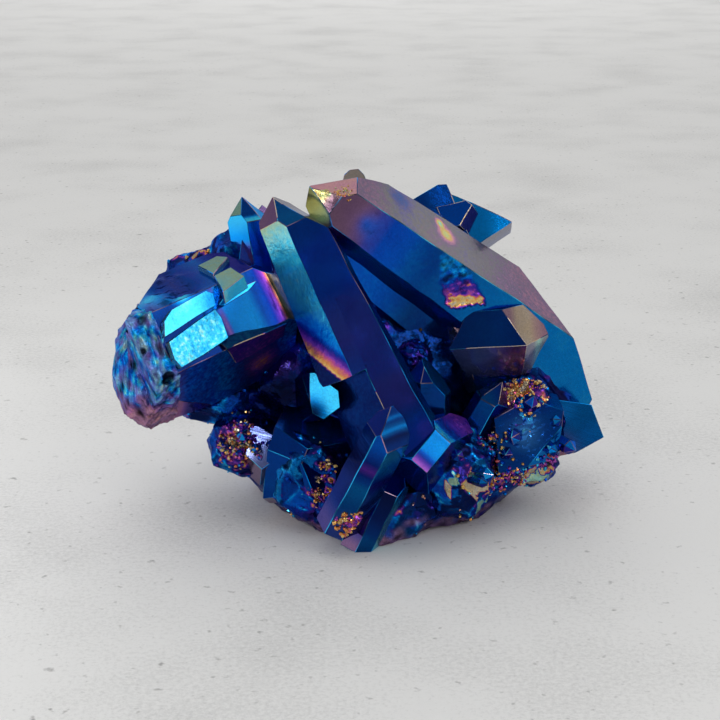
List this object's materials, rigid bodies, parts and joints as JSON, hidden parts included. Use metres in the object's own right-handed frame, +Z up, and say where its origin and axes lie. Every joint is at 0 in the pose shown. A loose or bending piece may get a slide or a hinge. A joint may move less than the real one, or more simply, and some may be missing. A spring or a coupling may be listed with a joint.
{
  "type": "iridescent coated quartz cluster",
  "caption": "Quartz points with a mirror-like iridescent coating, grown together on their own rough matrix, resting on a flat underside",
  "frame": {"origin": "middle of the cluster's box at the level of its flat underside", "axes": "X along the cluster's width, Y from front to back with the front at -Y, Z up"},
  "size_m": [0.0816, 0.056, 0.0576],
  "materials": {
    "aura_quartz": "opaque iridescent metal film on quartz, blue to violet, teal and gold"
  },
  "bodies": {
    "root": {"quartz_cluster": "aura_quartz"}
  },
  "joints": []
}
